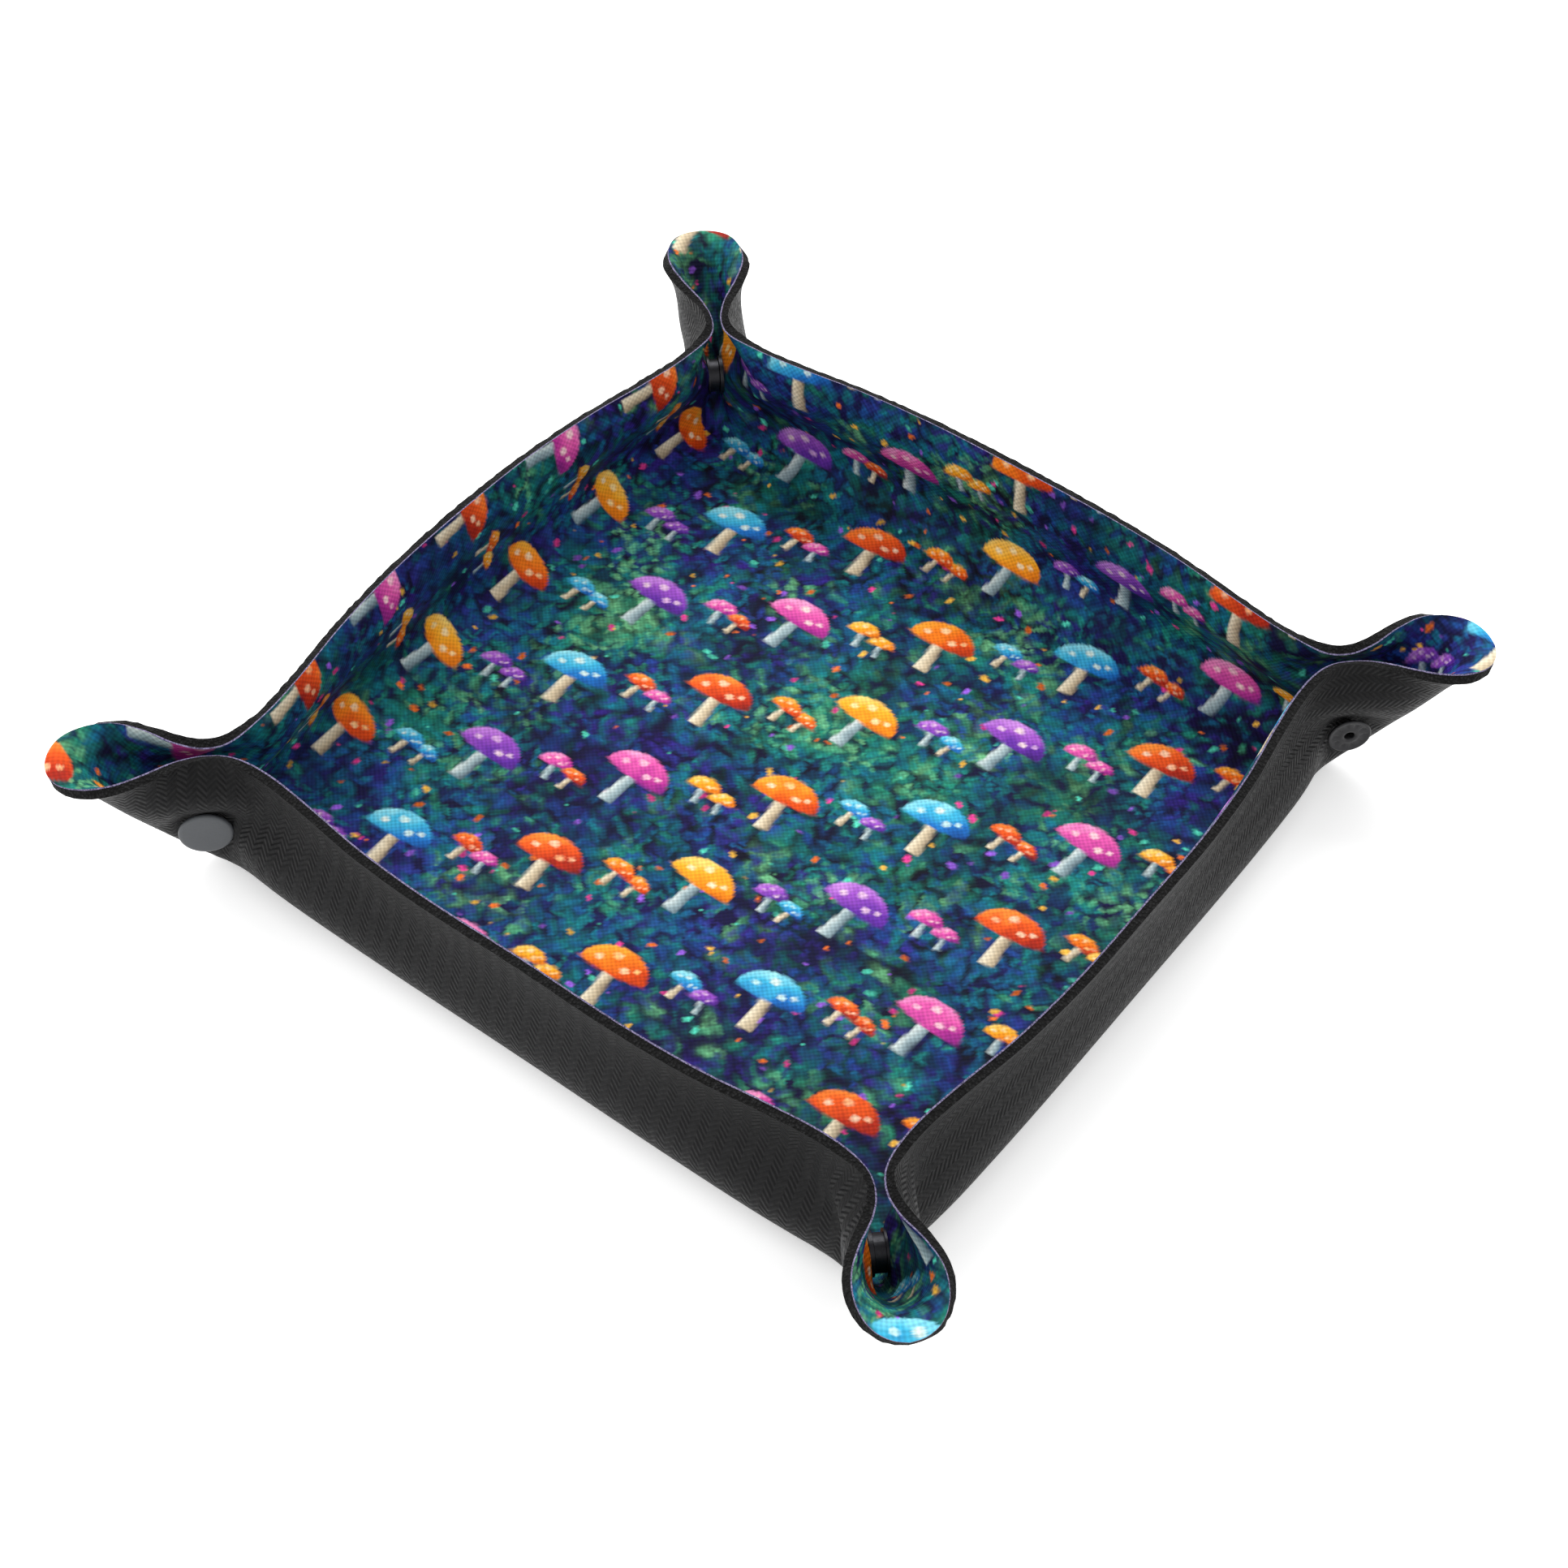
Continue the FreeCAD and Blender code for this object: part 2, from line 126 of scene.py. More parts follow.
def relaxed_quarter():
    """The quarter of the mat with x and y positive, found by letting a stiff net settle."""
    flat = flat_net()
    last = CELLS
    outer = flat.max(-1)
    inner = flat.min(-1)
    on_right = flat[..., 0] >= flat[..., 1]

    # Start with the walls straight up, and the two halves of the ear side by side.
    ear = FLOOR_HALF - 3.8
    up = np.where(outer > FLOOR_HALF, MID + outer - FLOOR_HALF, MID)
    turn = np.where(outer > FLOOR_HALF, np.maximum(inner - ear, 0), 0) * math.sqrt(0.5)
    out = np.minimum(outer, FLOOR_HALF) + turn
    side = np.where((inner > ear) & (outer > FLOOR_HALF), ear + turn, inner)
    net = np.stack([np.where(on_right, out, side), np.where(on_right, side, out), up], -1)

    held = outer <= FLAT_FLOOR
    goal = net.copy()
    goal[held, :2] = flat[held]
    goal[held, 2] = MID

    line = rim_line()
    reach = lengths_along(line)
    neck_reach = reach[np.argmin(np.linalg.norm(line - RIM[RIM_NECK], axis=1))]
    edge = lengths_along(flat[last])
    neck_edge = np.interp(SNAP_ALONG, flat[last][:, 1], edge)
    at = np.interp(edge, [0, neck_edge, edge[-1]], [0, neck_reach, reach[-1]])
    rim = np.stack([np.interp(at, reach, line[:, k]) for k in range(3)], -1)
    held[last, :] = held[:, last] = True
    goal[last, :] = rim[:, [1, 0, 2]]
    goal[:, last] = rim

    radial, height = snap_seat_places()
    apart = 3.2                # middle layer of either half from the plane between them
    seat = np.array([radial + apart, radial - apart]) * math.sqrt(0.5)
    outward = np.array([1, 1, 0]) * math.sqrt(0.5)
    for swap in (False, True):
        own = flat[..., ::-1] if swap else flat
        rise, run = own[..., 0] - SNAP_ACROSS, own[..., 1] - SNAP_ALONG
        clamped = np.hypot(rise, run) < SEAT
        centre = np.array([*(seat[::-1] if swap else seat), height])
        held |= clamped
        goal[clamped] = (centre + rise[..., None] * (0, 0, 1) + run[..., None] * outward)[clamped]
    net[held] = goal[held]

    threads = []
    count = np.zeros(held.shape)
    for first, second, pull in (
            (np.s_[:-1, :], np.s_[1:, :], 1.0), (np.s_[:, :-1], np.s_[:, 1:], 1.0),
            (np.s_[:-1, :-1], np.s_[1:, 1:], 0.5), (np.s_[1:, :-1], np.s_[:-1, 1:], 0.5)):
        threads.append((first, second, np.linalg.norm(flat[second] - flat[first], axis=-1), pull))
        count[first] += pull
        count[second] += pull
    free = np.where(held, 0.0, 1.0)
    keep_out = np.minimum(1.5, np.abs(flat[..., 0] - flat[..., 1]) * 0.55)
    in_ear = inner > 84
    sense = np.where(on_right, 1, -1)

    def spread(field):
        """Sum of each point's four neighbours, less four times the point."""
        wide = np.pad(field, ((1, 1), (1, 1), (0, 0)), mode="edge")
        wide[0, 1:-1] = field[1] * (-1, 1, 1)
        wide[1:-1, 0] = field[:, 1] * (1, -1, 1)
        return (wide[2:, 1:-1] + wide[:-2, 1:-1] + wide[1:-1, 2:] + wide[1:-1, :-2] - 4 * field)

    drift = np.zeros_like(net)
    for _ in range(700):
        before = net.copy()
        net = net + drift * 0.9
        net -= 0.02 * spread(spread(net)) * free[..., None]
        for _ in range(2):
            shift = np.zeros_like(net)
            for first, second, length, pull in threads:
                span = net[second] - net[first]
                now = np.linalg.norm(span, axis=-1)
                loose = np.maximum(free[first] + free[second], 1e-9)
                fix = ((now - length) / now / loose * pull)[..., None] * span
                shift[first] += fix * free[first][..., None]
                shift[second] -= fix * free[second][..., None]
            net += shift / count[..., None] * 1.6
        net[..., 2] = np.maximum(net[..., 2], MID)
        net[0, :, 0] = 0
        net[:, 0, 1] = 0
        offset = (net[..., 0] - net[..., 1]) * sense * math.sqrt(0.5)
        push = np.where(in_ear & (offset < keep_out), keep_out - offset, 0) * sense * math.sqrt(0.5)
        net[..., 0] += push
        net[..., 1] -= push
        diagonal = np.arange(last + 1)
        net[diagonal, diagonal, :2] = net[diagonal, diagonal, :2].mean(-1, keepdims=True)
        net[held] = goal[held]
        drift = net - before
    return flat, net


def whole_net():
    """All four quarters, with the small differences between the walls of a real tray."""
    flat, net = relaxed_quarter()
    side = 2 * CELLS + 1
    places, cloth = np.zeros((side, side, 3)), np.zeros((side, side, 2))
    for sx in (-1, 1):
        for sy in (-1, 1):
            i = CELLS + sx * np.arange(CELLS + 1)
            j = CELLS + sy * np.arange(CELLS + 1)
            places[np.ix_(i, j)] = net * (sx, sy, 1)
            cloth[np.ix_(i, j)] = flat * (sx, sy)
    for axis, sign, lean in ((1, -1, -1.2), (1, 1, -1.0), (0, -1, 1.2)):
        along = np.clip(np.abs(cloth[..., 1 - axis]) / 80, 0, 1)
        raised = np.clip((places[..., 2] - MID) / 36, 0, 1) * (cloth[..., axis] * sign > FLAT_FLOOR)
        places[..., axis] += sign * lean * raised * np.cos(along * math.pi / 2) ** 2
    return places, cloth


mat_places, mat_cloth = whole_net()


def edge_padded(field):
    wide = np.pad(field, ((1, 1), (1, 1), (0, 0)), mode="edge")
    wide[0], wide[-1] = 2 * wide[1] - wide[2], 2 * wide[-2] - wide[-3]
    wide[:, 0], wide[:, -1] = 2 * wide[:, 1] - wide[:, 2], 2 * wide[:, -2] - wide[:, -3]
    return wide


padded_places, padded_cloth = edge_padded(mat_places), edge_padded(mat_cloth)


def lifted(spots):
    """Place, printed-side normal and cloth place of spots given in the net's own square, in mm."""
    def sample(field, grid):
        cell = np.clip(np.floor(grid).astype(int), 0, 2 * CELLS - 1)
        t = grid - cell
        total = np.zeros((len(grid), field.shape[-1]))
        weights = []
        for k in range(2):
            s = t[:, k]
            weights.append(np.stack([-s + 2 * s ** 2 - s ** 3, 2 - 5 * s ** 2 + 3 * s ** 3,
                                     s + 4 * s ** 2 - 3 * s ** 3, s ** 3 - s ** 2]) / 2)
        for a in range(4):
            for b in range(4):
                total += (weights[0][a] * weights[1][b])[:, None] * field[cell[:, 0] + a, cell[:, 1] + b]
        return total
    grid = np.asarray(spots) / CELL + CELLS
    inset = np.clip(grid, 0.02, 2 * CELLS - 0.02)
    step = 0.01
    along_x = sample(padded_places, inset + (step, 0)) - sample(padded_places, inset - (step, 0))
    along_y = sample(padded_places, inset + (0, step)) - sample(padded_places, inset - (0, step))
    normal = np.cross(along_x, along_y)
    normal /= np.linalg.norm(normal, axis=1, keepdims=True)
    return sample(padded_places, grid), normal, sample(padded_cloth, grid)


def linear(code):
    """Linear colour of an sRGB hex value."""
    parts = [int(code[k:k + 2], 16) / 255 for k in (1, 3, 5)]
    return [c / 12.92 if c <= 0.04045 else ((c + 0.055) / 1.055) ** 2.4 for c in parts] + [1.0]


def node(tree, kind, inputs=(), **settings):
    """A new node with its settings, and its inputs set or linked by name or number."""
    made = tree.nodes.new(kind)
    for key, value in settings.items():
        setattr(made, key, value)
    for key, value in dict(inputs).items():
        if isinstance(value, bpy.types.NodeSocket):
            tree.links.new(value, made.inputs[key])
        else:
            made.inputs[key].default_value = value
    return made


def new_material(name, roughness, metallic=0.0, ior=1.5):
    """A named material and its shader, ready for the nodes that a section adds."""
    material = bpy.data.materials.new(name)
    material.use_nodes = True
    shader = material.node_tree.nodes["Principled BSDF"]
    shader.inputs["Roughness"].default_value = roughness
    shader.inputs["Metallic"].default_value = metallic
    shader.inputs["IOR"].default_value = ior
    return material, material.node_tree, shader


# ---- the pattern printed on the cloth --------------------------------------------------------------
# Dye-sublimated into the polyester: a plain all-over repeat of toadstools among leaves on a dark ground.
# The dye leaves no film, so the pattern is only a colour of the threads. Lengths are mm on the flat mat.

def clouds(spots, size, seed):
    """Soft noise between 0 and 1 whose blots are about one size across."""
    table = np.random.default_rng(seed).random((61, 61))
    grid = spots / size + 500.3
    cell = np.floor(grid).astype(int)
    t = grid - cell
    t = t * t * (3 - 2 * t)
    a, b = cell[:, 0] % 61, cell[:, 1] % 61
    c, d = (a + 1) % 61, (b + 1) % 61
    near = table[a, b] * (1 - t[:, 0]) + table[c, b] * t[:, 0]
    far = table[a, d] * (1 - t[:, 0]) + table[c, d] * t[:, 0]
    return near * (1 - t[:, 1]) + far * t[:, 1]


def wisps(spots, size, seed, layers=4):
    total, weight = 0.0, 1.0
    for k in range(layers):
        total = total + weight * clouds(spots, size / 2 ** k, seed + k)
        weight *= 0.5
    return total / (2 - 2 ** (1 - layers))


def leaf_cells(spots, size, seed):
    """Distance from the nearest leaf's middle, a number of that leaf's own, and the side of its vein."""
    rng = np.random.default_rng(seed)
    offsets, own = rng.random((61, 61, 2)), rng.random((61, 61))
    grid = spots / size + 500.3
    cell = np.floor(grid).astype(int)
    first = np.full(len(spots), 9.0)
    number = np.zeros(len(spots))
    tilt = np.zeros(len(spots))
    for i in (-1, 0, 1):
        for j in (-1, 0, 1):
            a, b = cell[:, 0] + i, cell[:, 1] + j
            middle = np.stack([a, b], -1) + offsets[a % 61, b % 61]
            away = grid - middle
            turn = own[a % 61, b % 61] * 6.3
            long = away[:, 0] * np.cos(turn) + away[:, 1] * np.sin(turn)
            short = away[:, 1] * np.cos(turn) - away[:, 0] * np.sin(turn)
            far = np.sqrt((long * 0.75) ** 2 + (short * 1.35) ** 2)
            closer = far < first
            number = np.where(closer, own[a % 61, b % 61], number)
            tilt = np.where(closer, short, tilt)
            first = np.where(closer, far, first)
    return first, number, tilt


def ink(code):
    return np.array(linear(code)[:3])


def ramp(values, codes):
    """Colours along a row of inks, for values from 0 to 1."""
    inks = np.array([ink(code) for code in codes])
    at = np.linspace(0, 1, len(codes))
    return np.stack([np.interp(values, at, inks[:, k]) for k in range(3)], -1)


def over(picture, paint, cover):
    cover = np.clip(cover, 0, 1)[:, None]
    return picture * (1 - cover) + paint * cover


SOFT = 0.35                    # mm over which the edge of a painted shape fades
SPOTS = ((-0.55, 0.22, 0.11), (-0.12, 0.5, 0.14), (0.28, 0.16, 0.12), (0.58, 0.3, 0.09))


def toadstool(picture, spots, x, y, size, lean, cap, stem):
    """A plain spotted toadstool whose cap is centred on x, y and is two sizes wide."""
    away = (spots - (x, y)) / size
    close = np.flatnonzero(np.abs(away).max(1) < 1.9)
    if not len(close):
        return
    turn = math.radians(lean)
    u = away[close, 0] * math.cos(turn) + away[close, 1] * math.sin(turn)
    v = away[close, 1] * math.cos(turn) - away[close, 0] * math.sin(turn)
    drawn = picture[close]

    def inside(distance):
        return np.clip(0.5 - distance * size / SOFT, 0, 1)
    grain = wisps(spots[close], max(size * 0.35, 1.2), 5, 3)

    wide = 0.17 + 0.06 * np.clip(-v / 1.3, 0, 1) ** 2
    shaft = np.maximum(np.abs(u) - wide, np.maximum(-1.25 - v, v - 0.1))
    light = np.clip(0.55 - 0.45 * u / wide + 0.5 * (grain - 0.5), 0, 1)
    drawn = over(drawn, ramp(light, stem), inside(shaft))

    dome = np.hypot(u, np.maximum(v, 0) / 0.8) - 1
    lip = np.hypot(u, v / 0.16) - 1
    light = 0.42 + 0.42 * v / 0.8 - 0.28 * u + 0.4 * (grain - 0.5)
    drawn = over(drawn, ramp(np.clip(light, 0, 1), cap), inside(np.where(v > 0, dome, lip * 0.16)))
    for along, up, wide in SPOTS:
        spot = np.hypot((u - along) / wide, (v - up) / (wide * 0.8)) - 1
        drawn = over(drawn, ramp(grain, (cap[-1], "#fff0d8")), inside(spot * wide) * 0.85)
    picture[close] = drawn


CAPS = (("#8f1f0c", "#d9480f", "#f7801a", "#ffb53a"), ("#5a1470", "#b42f8f", "#e45aa8", "#f6a4cf"),
        ("#0c2a6e", "#1b6fbf", "#3fb4d8", "#a6ecf0"), ("#b0480c", "#ee8412", "#fdb02a", "#ffdc7a"),
        ("#5c0f14", "#b32a12", "#ee5a1c", "#ff9a3c"), ("#2c1056", "#5f2a9c", "#9a4fc0", "#cf8fe0"))
STEMS = (("#7a6a58", "#c9b798", "#efe2c6"), ("#4a5a66", "#93a9ae", "#d3dedb"))
PETALS = ("#ff7a2a", "#f2409a", "#ffc24a", "#58e0c0", "#9a5fe0")
REPEAT = 32.0                  # mm between the toadstools of a row of the repeat
PETAL_COUNT = 900
# A place of the repeat: each toadstool's offset, size, lean, and how many colours along it is.
GROUP = ((0, 0, 8.5, 5, 0), (15, 7, 4.2, -8, 2), (-11, -10, 3.4, 10, 3))


def painted(spots):
    """Linear colours of the print at places on the flat mat."""
    x, y = spots[:, 0], spots[:, 1]
    picture = ramp(wisps(spots, 45, 21), ("#04040e", "#08081e", "#121040", "#1a1854"))

    # Leaves of three sizes, evenly over the whole mat.
    shiver = np.stack([wisps(spots, 5, 35), wisps(spots, 5, 36)], -1) * 5
    for size, seed, strength in ((5.4, 31, 0.85), (3.3, 41, 0.8), (2.1, 45, 0.7)):
        middle, number, tilt = leaf_cells(spots + shiver, size, seed)
        tone = np.clip(0.2 + number * 0.5 + (wisps(spots, 30, seed + 7) - 0.5) * 1.6, 0, 1)
        leaf = ramp(tone, ("#1b0d4e", "#3b2496", "#1c4c9c", "#0d7f90", "#229678", "#74c48a"))
        lit = np.clip(1.25 - middle * 1.7, 0, 1) * (0.55 + 0.45 * np.clip(np.abs(tilt) * 7, 0, 1))
        lit = lit * np.clip(wisps(spots, 12, seed + 3) * 2.6 - 0.35, 0.12, 1.25)
        seen = np.clip(1.5 - middle * 1.8, 0, 1) * np.clip(number * 3 - 0.4, 0, 1)
        picture = over(picture, leaf * lit[:, None], strength * seen)

    rng = np.random.default_rng(101)
    for k in range(PETAL_COUNT):
        px, py = rng.uniform(-HALF_SIDE, HALF_SIDE, 2)
        size, turn, glow = rng.uniform(0.5, 1.5), rng.uniform(0, math.pi), rng.uniform(0.45, 1)
        close = np.flatnonzero((np.abs(x - px) < 3) & (np.abs(y - py) < 3))
        if len(close):
            a = (x[close] - px) * math.cos(turn) + (y[close] - py) * math.sin(turn)
            b = (y[close] - py) * math.cos(turn) - (x[close] - px) * math.sin(turn)
            cover = (1 - np.hypot(a / size, b / (size * 0.6))) * size / SOFT
            picture[close] = over(picture[close], ink(PETALS[k % len(PETALS)])[None] * glow, cover)

    # Toadstools in half-drop rows: a large one at each place of the repeat, and two small ones by it.
    for row in range(4, -5, -1):
        for column in range(-5, 6):
            at = (column * REPEAT, (row + 0.5 * (column % 2)) * REPEAT)
            kind = column * 2 + row * 3
            for dx, dy, size, lean, step in GROUP:
                toadstool(picture, spots, at[0] + dx, at[1] + dy, size, lean * (-1) ** row,
                          CAPS[(kind + step) % len(CAPS)], STEMS[(kind + step) % len(STEMS)])
    return np.clip(picture, 0, 1)


# ---- materials of the mat --------------------------------------------------------------------------

# Printed polyester in plain weave: matt, with painted shade where a thread dips and a painted highlight
# where it rises. Its threads are 0.35 mm apart, drawn twice as coarse so that they show.
MAT_SIDE_MM = 2 * HALF_SIDE
THREAD_PAIR = 1.4              # mm over which a thread rises and dips once
cloth_print, tree, shader = new_material("printed polyester plain weave", 0.72)
shader.inputs["Specular IOR Level"].default_value = 0.14
flat_map = node(tree, "ShaderNodeUVMap", uv_map="flat")
axes = node(tree, "ShaderNodeSeparateXYZ", {0: flat_map.outputs[0]})
waves = []
for axis in (0, 1):
    turns = node(tree, "ShaderNodeMath",
                 {0: axes.outputs[axis], 1: MAT_SIDE_MM * 2 * math.pi / THREAD_PAIR}, operation="MULTIPLY")
    waves.append(node(tree, "ShaderNodeMath", {0: turns.outputs[0]}, operation="SINE"))
weave = node(tree, "ShaderNodeMath", {0: waves[0].outputs[0], 1: waves[1].outputs[0]},
             operation="MULTIPLY")
slub = node(tree, "ShaderNodeTexNoise", {"Vector": flat_map.outputs[0], "Scale": 190.0, "Detail": 3.0})
height = node(tree, "ShaderNodeMath", {0: weave.outputs[0], 1: 0.5, 2: slub.outputs["Fac"]},
              operation="MULTIPLY_ADD")
bump = node(tree, "ShaderNodeBump", {"Height": height.outputs[0], "Strength": 0.45, "Distance": 0.00022})
tree.links.new(bump.outputs[0], shader.inputs["Normal"])
dye = node(tree, "ShaderNodeAttribute", attribute_name="print")
# Painted shade and highlight: the print is darkened where the weave dips and lightened where it rises.
weave_shading = node(tree, "ShaderNodeMapRange", {0: height.outputs[0], 1: 0.0, 2: 1.0, 3: 0.8, 4: 1.16})
shaded_print = node(tree, "ShaderNodeVectorMath", {0: dye.outputs["Color"]}, operation="SCALE")
tree.links.new(weave_shading.outputs[0], shaded_print.inputs["Scale"])
tree.links.new(shaded_print.outputs[0], shader.inputs["Base Color"])

# The cut edge of the cloth shows the undyed core of its threads, greyish lilac from the dye beside it.
cloth_edge, tree, shader = new_material("cut edge of the polyester", 0.85)
speck = node(tree, "ShaderNodeTexNoise", {"Scale": 2600.0, "Detail": 2.0})
place_of = node(tree, "ShaderNodeTexCoord")
tree.links.new(place_of.outputs["Object"], speck.inputs["Vector"])
blend = node(tree, "ShaderNodeValToRGB", {0: speck.outputs["Fac"]})
blend.color_ramp.elements[0].position, blend.color_ramp.elements[0].color = 0.35, linear("#3b3550")
blend.color_ramp.elements[1].position, blend.color_ramp.elements[1].color = 0.65, linear("#8d84a8")
tree.links.new(blend.outputs[0], shader.inputs["Base Color"])

# Calendered black rubber: satin, with a herringbone rolled into it while it was warm. Its ribs are
# 1.5 mm apart, with a painted highlight that makes their crests a little lighter over a cloudy random tone.
RIB_PITCH, RIB_COLUMN = 1.5, 2.2    # mm between ribs, and between turns of the zigzag
rubber_back, tree, shader = new_material("calendered black rubber", 0.55)
shader.inputs["Specular IOR Level"].default_value = 0.18
flat_map = node(tree, "ShaderNodeUVMap", uv_map="flat")
axes = node(tree, "ShaderNodeSeparateXYZ", {0: flat_map.outputs[0]})
across = node(tree, "ShaderNodeMath", {0: axes.outputs[0], 1: MAT_SIDE_MM}, operation="MULTIPLY")
along = node(tree, "ShaderNodeMath", {0: axes.outputs[1], 1: MAT_SIDE_MM}, operation="MULTIPLY")
zigzag = node(tree, "ShaderNodeMath", {0: across.outputs[0], 1: RIB_COLUMN}, operation="PINGPONG")
run = node(tree, "ShaderNodeMath", {0: along.outputs[0], 1: zigzag.outputs[0]}, operation="ADD")
turns = node(tree, "ShaderNodeMath", {0: run.outputs[0], 1: 2 * math.pi / RIB_PITCH}, operation="MULTIPLY")
rib = node(tree, "ShaderNodeMath", {0: turns.outputs[0]}, operation="SINE")
place_of = node(tree, "ShaderNodeTexCoord")
grit = node(tree, "ShaderNodeTexNoise",
            {"Vector": place_of.outputs["Object"], "Scale": 900.0, "Detail": 4.0})
cloudy = node(tree, "ShaderNodeTexNoise",
              {"Vector": place_of.outputs["Object"], "Scale": 28.0, "Detail": 3.0})
height = node(tree, "ShaderNodeMath", {0: rib.outputs[0], 1: 0.5, 2: grit.outputs["Fac"]},
              operation="MULTIPLY_ADD")
bump = node(tree, "ShaderNodeBump", {"Height": height.outputs[0], "Strength": 0.6, "Distance": 0.00035})
tree.links.new(bump.outputs[0], shader.inputs["Normal"])
# Painted highlight: the colour is lighter along the crests of the ribs, over a cloudy random tone of the
# rubber.
crest_highlight_and_tone = node(tree, "ShaderNodeMath", {0: rib.outputs[0], 1: 0.16, 2: cloudy.outputs["Fac"]},
             operation="MULTIPLY_ADD")
blend = node(tree, "ShaderNodeValToRGB", {0: crest_highlight_and_tone.outputs[0]})
blend.color_ramp.elements[0].position, blend.color_ramp.elements[0].color = 0.3, linear("#070708")
blend.color_ramp.elements[1].position, blend.color_ramp.elements[1].color = 0.75, linear("#131314")
tree.links.new(blend.outputs[0], shader.inputs["Base Color"])
rough = node(tree, "ShaderNodeMapRange", {0: grit.outputs["Fac"], 1: 0.3, 2: 0.7, 3: 0.42, 4: 0.62})
tree.links.new(rough.outputs[0], shader.inputs["Roughness"])

# Where the mat was die cut the rubber is torn rather than smooth: dull, with crumbs about 0.5 mm wide.
rubber_edge, tree, shader = new_material("die-cut rubber edge", 0.9)
shader.inputs["Specular IOR Level"].default_value = 0.25
place_of = node(tree, "ShaderNodeTexCoord")
crumb = node(tree, "ShaderNodeTexVoronoi", {"Vector": place_of.outputs["Object"], "Scale": 1500.0})
torn = node(tree, "ShaderNodeTexNoise",
            {"Vector": place_of.outputs["Object"], "Scale": 1100.0, "Detail": 4.0})
height = node(tree, "ShaderNodeMath", {0: torn.outputs["Fac"], 1: crumb.outputs["Distance"]},
              operation="SUBTRACT")
bump = node(tree, "ShaderNodeBump", {"Height": height.outputs[0], "Strength": 1.0, "Distance": 0.0006})
tree.links.new(bump.outputs[0], shader.inputs["Normal"])
# Painted shade and highlight: the colour follows the height of the torn surface, darker in the hollows
# between crumbs and lighter on their tops.
blend = node(tree, "ShaderNodeValToRGB", {0: height.outputs[0]})
blend.color_ramp.elements[0].position, blend.color_ramp.elements[0].color = 0.0, linear("#050505")
blend.color_ramp.elements[1].position, blend.color_ramp.elements[1].color = 0.6, linear("#2a2a2b")
tree.links.new(blend.outputs[0], shader.inputs["Base Color"])


# ---- the mat's two layers --------------------------------------------------------------------------
# The cloth is bonded to the rubber all over and both are one uncut square. It is drawn in patches that
# meet edge to edge, because each patch can bend across one crease only. Lengths are in mm.

CLOTH_FINE = 0.625             # grid of the cloth, fine enough to carry its pattern
RUBBER_FINE = 1.25
CLOTH_LAYER = (0.84, 1.2)      # underside and top, measured from the mat's middle layer
RUBBER_LAYER = (-1.2, 0.84)
WALLS = ("right", "back", "left", "front")
CORNERS = {"right": ("front_right", "back_right"), "back": ("back_right", "back_left"),
           "left": ("back_left", "front_left"), "front": ("front_left", "front_right")}
EAR_STARTS, SNAP_FOOT, TIP_STARTS = 82.5, 97.5, 105.0
TIP_LONG = HALF_SIDE - TIP_STARTS


def turned_spots(spots, quarter):
    """Spots turned about the middle of the mat by quarter turns."""
    x, y = spots[..., 0], spots[..., 1]
    return np.stack([(x, y), (-y, x), (-x, -y), (y, -x)][quarter], -1)


